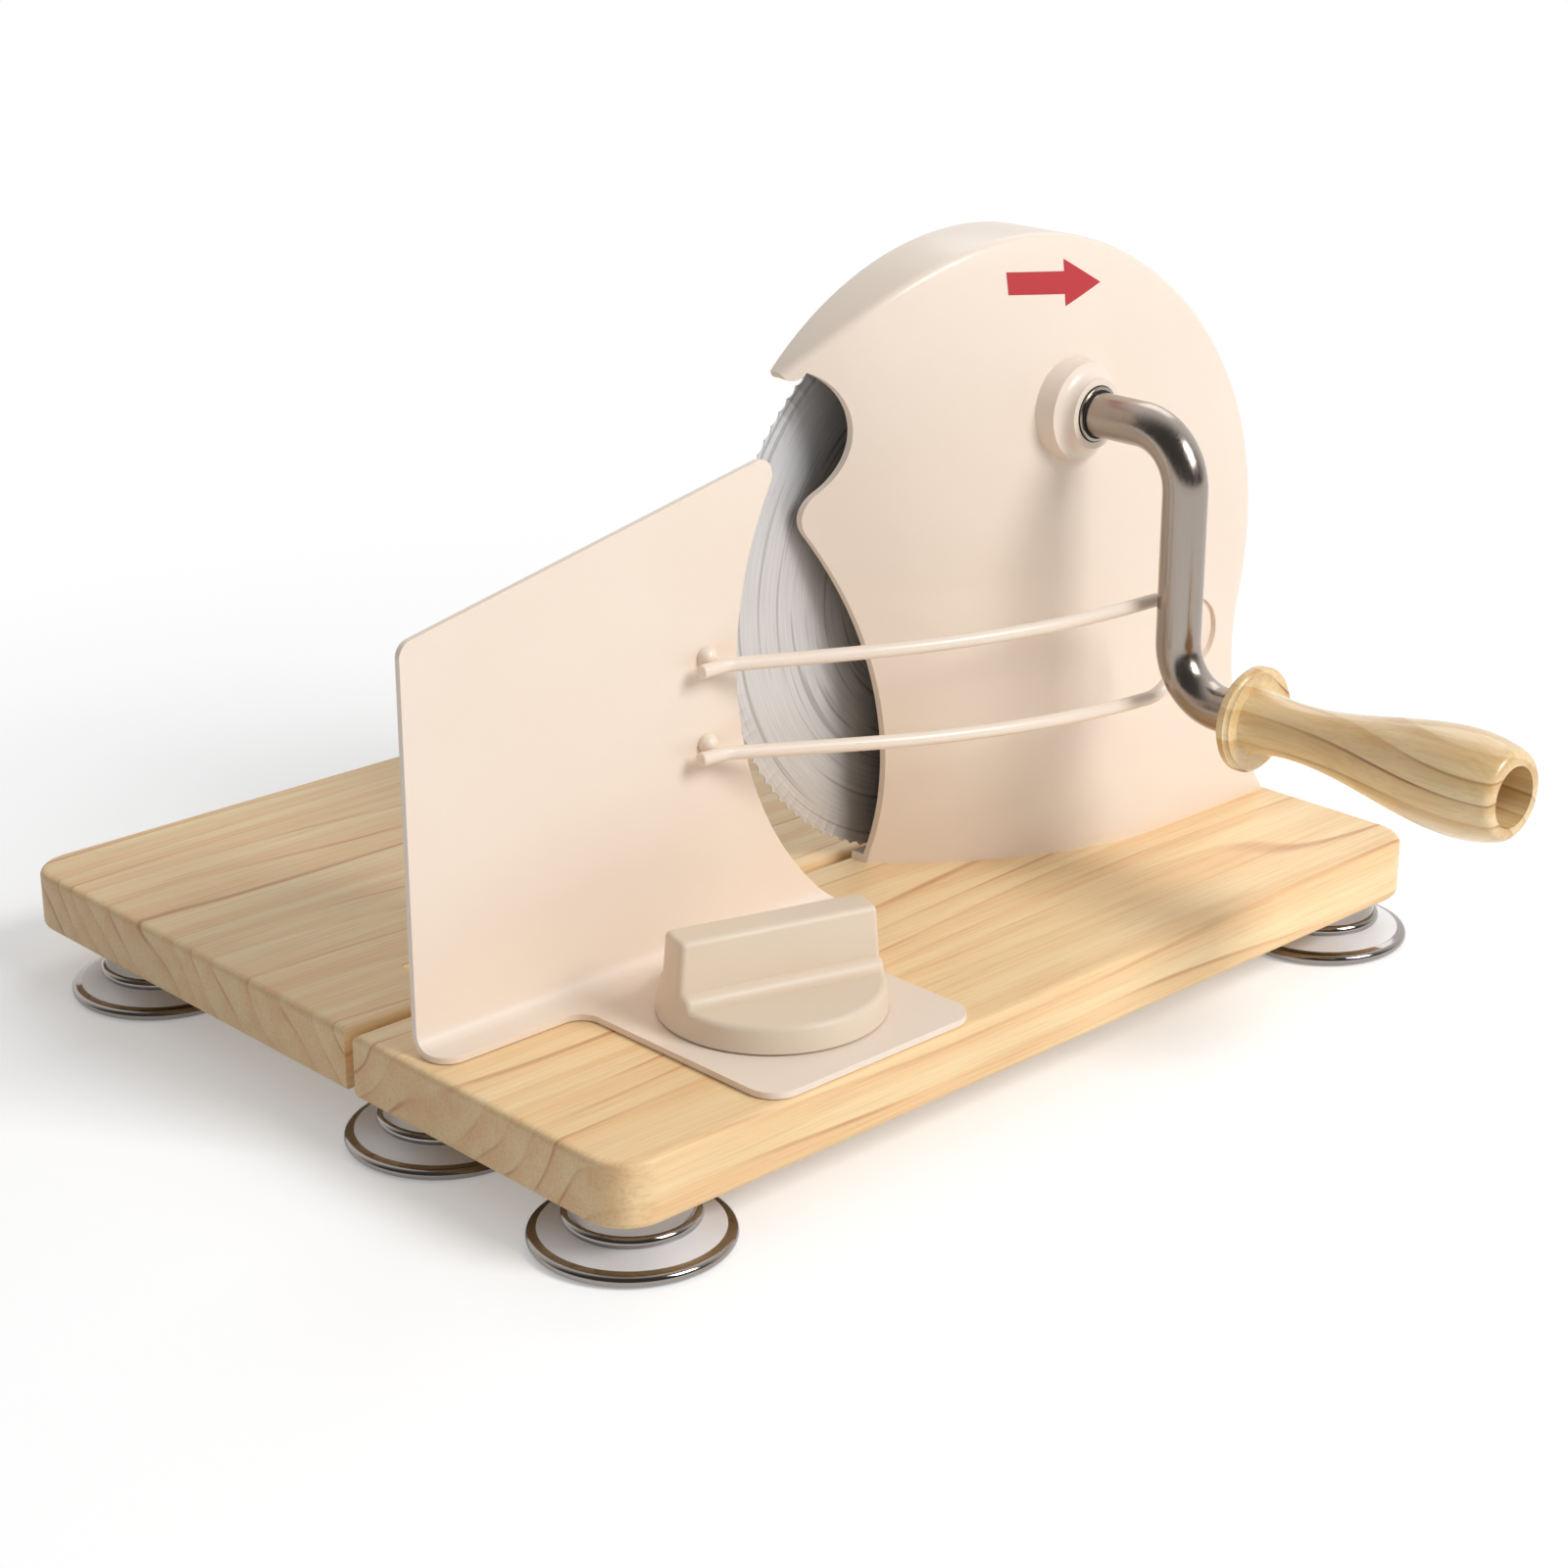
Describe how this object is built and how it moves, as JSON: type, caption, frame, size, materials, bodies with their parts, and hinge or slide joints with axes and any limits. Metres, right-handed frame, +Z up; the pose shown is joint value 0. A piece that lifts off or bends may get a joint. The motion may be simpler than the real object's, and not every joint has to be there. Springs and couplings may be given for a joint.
{
  "type": "bread slicer",
  "caption": "Hand cranked bread slicer: geared round blade in a bowed casing on a folding board, with a sliding guide plate, wire slice guard and thickness knob.",
  "frame": {"origin": "on the table, below the middle of the whole slicer's outline, handle included", "axes": "+X along the boards towards the casing's straight side, +Y from the crank handle towards the feed board, +Z up"},
  "size_m": [0.3656, 0.3914, 0.238],
  "materials": {
    "pale_wood": "oiled, fine straight grain",
    "handle_wood": "lacquered",
    "cream_enamel": "satin enamel",
    "cream_plastic": "satin",
    "black_plastic": "matt",
    "blade_steel": "ground in circles",
    "crank_steel": "satin polished",
    "gear_steel": "machined",
    "screw_steel": "plated",
    "hinge_brass": "satin",
    "foot_chrome": "polished rim, satin cone",
    "foot_rubber": "matt"
  },
  "bodies": {
    "base": {"front_board": "pale_wood", "casing_shell": "cream_enamel", "gear_cover": "black_plastic", "cover_screws": "screw_steel", "casing_screws": "screw_steel", "crank_bush": "crank_steel", "blade_axle": "gear_steel", "axle_screw": "screw_steel", "hinge_leaf_front_left": "hinge_brass", "hinge_leaf_front_right": "hinge_brass", "hinge_pin_left": "hinge_brass", "hinge_pin_right": "hinge_brass", "hinge_screws_front": "screw_steel", "foot_screws_front": "screw_steel", "foot_shell_front_left": "foot_chrome", "foot_shell_front_right": "foot_chrome", "foot_shell_middle_left": "foot_chrome", "foot_shell_middle_right": "foot_chrome", "foot_pad_front_left": "foot_rubber", "foot_pad_front_right": "foot_rubber", "foot_pad_middle_left": "foot_rubber", "foot_pad_middle_right": "foot_rubber"},
    "guide": {"guide_plate": "cream_enamel", "guide_keys": "black_plastic", "wire_rivets": "cream_enamel", "guide_wire": "cream_enamel"},
    "knob": {"thickness_knob": "cream_plastic", "knob_pinion": "gear_steel", "knob_spindle": "gear_steel", "knob_screw": "screw_steel"},
    "crank": {"crank_rod": "crank_steel", "crank_gear": "gear_steel", "gear_screw": "screw_steel", "handle_washer": "crank_steel", "handle_screw": "screw_steel"},
    "grip": {"wooden_handle": "handle_wood"},
    "blade": {"blade_disc": "blade_steel", "blade_pinion": "gear_steel", "blade_clamp_plate": "gear_steel", "blade_screws": "screw_steel"},
    "leaf": {"feed_board": "pale_wood", "hinge_leaf_feed_left": "hinge_brass", "hinge_leaf_feed_right": "hinge_brass", "hinge_screws_feed": "screw_steel", "foot_screws_feed": "screw_steel", "foot_shell_feed_left": "foot_chrome", "foot_shell_feed_right": "foot_chrome", "foot_pad_feed_left": "foot_rubber", "foot_pad_feed_right": "foot_rubber"}
  },
  "joints": [
    {"name": "crank_turn", "type": "hinge", "parent": "base", "child": "crank", "pos_m": [0.08464, -0.02275, 0.1828], "axis": [0, 1, 0], "continuous": true},
    {"name": "grip_spin", "type": "hinge", "parent": "crank", "child": "grip", "pos_m": [0.08464, -0.12875, 0.0984], "axis": [0, 1, 0], "continuous": true},
    {"name": "blade_spin", "type": "hinge", "parent": "base", "child": "blade", "pos_m": [0.0653, 0.00225, 0.126], "axis": [0, 1, 0], "continuous": true},
    {"name": "guide_slide", "type": "slide", "parent": "base", "child": "guide", "axis": [0, 1, 0], "range_m": [0, 0.022]},
    {"name": "knob_turn", "type": "hinge", "parent": "base", "child": "knob", "pos_m": [-0.0788, -0.05765, 0.041], "axis": [0, 0, 1], "range_deg": [0, 263]},
    {"name": "leaf_fold", "type": "hinge", "parent": "base", "child": "leaf", "pos_m": [-0.001, 0.02475, 0.0334], "axis": [1, 0, 0], "range_deg": [0, 90]}
  ],
  "couplings": [
    {"joint": "blade_spin", "follows": "crank_turn", "ratio": -2.0769},
    {"joint": "knob_turn", "follows": "guide_slide", "rad_per_m": 208.33}
  ]
}
